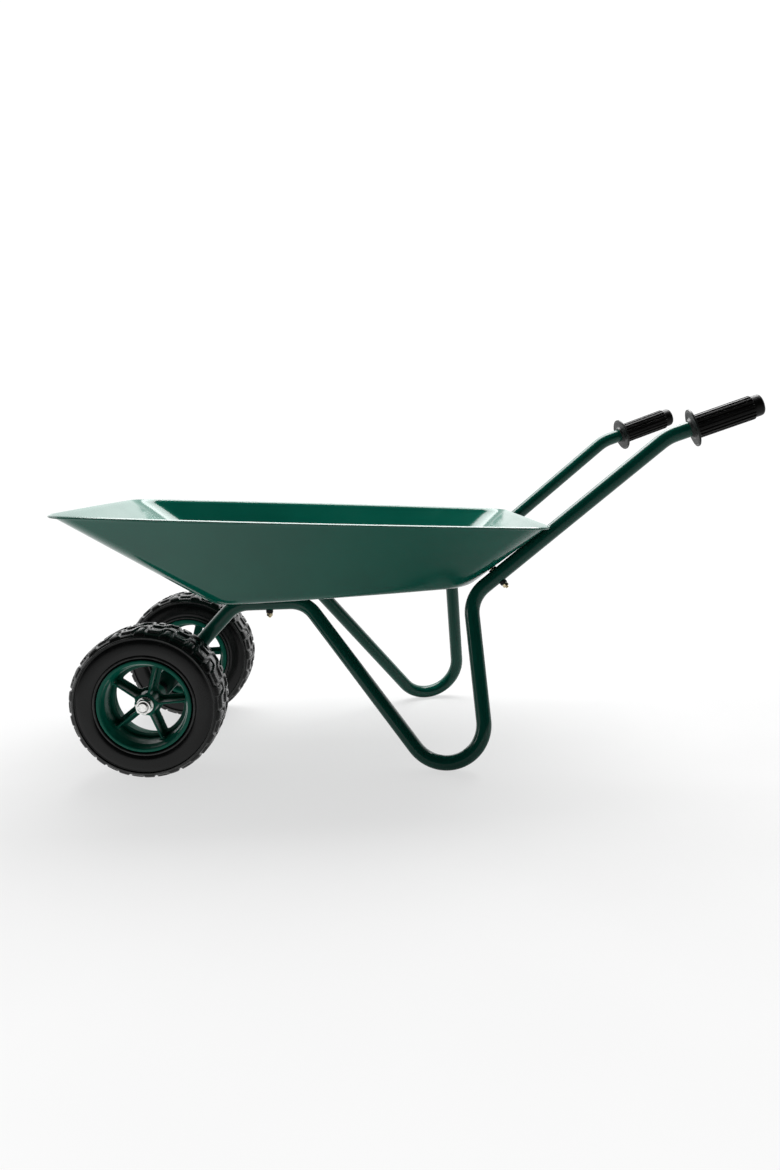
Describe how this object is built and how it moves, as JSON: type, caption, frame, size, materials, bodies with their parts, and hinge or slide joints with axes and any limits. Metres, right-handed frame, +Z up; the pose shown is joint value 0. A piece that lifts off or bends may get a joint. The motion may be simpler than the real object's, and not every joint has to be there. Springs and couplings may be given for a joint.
{
  "type": "wheelbarrow",
  "caption": "Twin-wheel garden wheelbarrow with a shallow steel tray on two bent tubes that form the fork, legs and handles.",
  "frame": {"origin": "on the ground, below the middle of the barrow's bounding box", "axes": "+Z up, -X the way it rolls, +X towards the hand grips, +Y to the right of someone at the handles"},
  "size_m": [1.1413, 0.5792, 0.6015],
  "materials": {
    "tray_paint": "gloss",
    "tube_paint": "gloss",
    "zinc": "satin",
    "rim_plastic": "gloss",
    "tyre": "matt",
    "black_plastic": "matt",
    "grip_rubber": "satin",
    "guard_plastic": "satin"
  },
  "bodies": {
    "root": {"tray": "tray_paint", "frame_tube_left": "tube_paint", "frame_tube_right": "tube_paint", "axle": "zinc", "axle_sleeve": "tube_paint", "axle_spacer_left": "black_plastic", "axle_spacer_right": "black_plastic", "axle_washers": "zinc", "axle_nuts": "zinc", "grip_left": "grip_rubber", "grip_right": "grip_rubber", "hand_guard_left": "guard_plastic", "hand_guard_right": "guard_plastic", "tray_bolts_front": "zinc", "tray_bolts_rear": "zinc", "tray_spacers": "black_plastic", "bolt_collars": "black_plastic", "bolt_nuts": "zinc"},
    "left_wheel": {"wheel_rim_left": "rim_plastic", "tyre_left": "tyre", "hub_bush_inner_left": "black_plastic", "hub_bush_outer_left": "black_plastic"},
    "right_wheel": {"wheel_rim_right": "rim_plastic", "tyre_right": "tyre", "hub_bush_inner_right": "black_plastic", "hub_bush_outer_right": "black_plastic"}
  },
  "joints": [
    {"name": "left_wheel_spin", "type": "hinge", "parent": "root", "child": "left_wheel", "pos_m": [-0.444, -0.173, 0.127], "axis": [0, 1, 0], "continuous": true},
    {"name": "right_wheel_spin", "type": "hinge", "parent": "root", "child": "right_wheel", "pos_m": [-0.444, 0.173, 0.127], "axis": [0, 1, 0], "continuous": true}
  ]
}
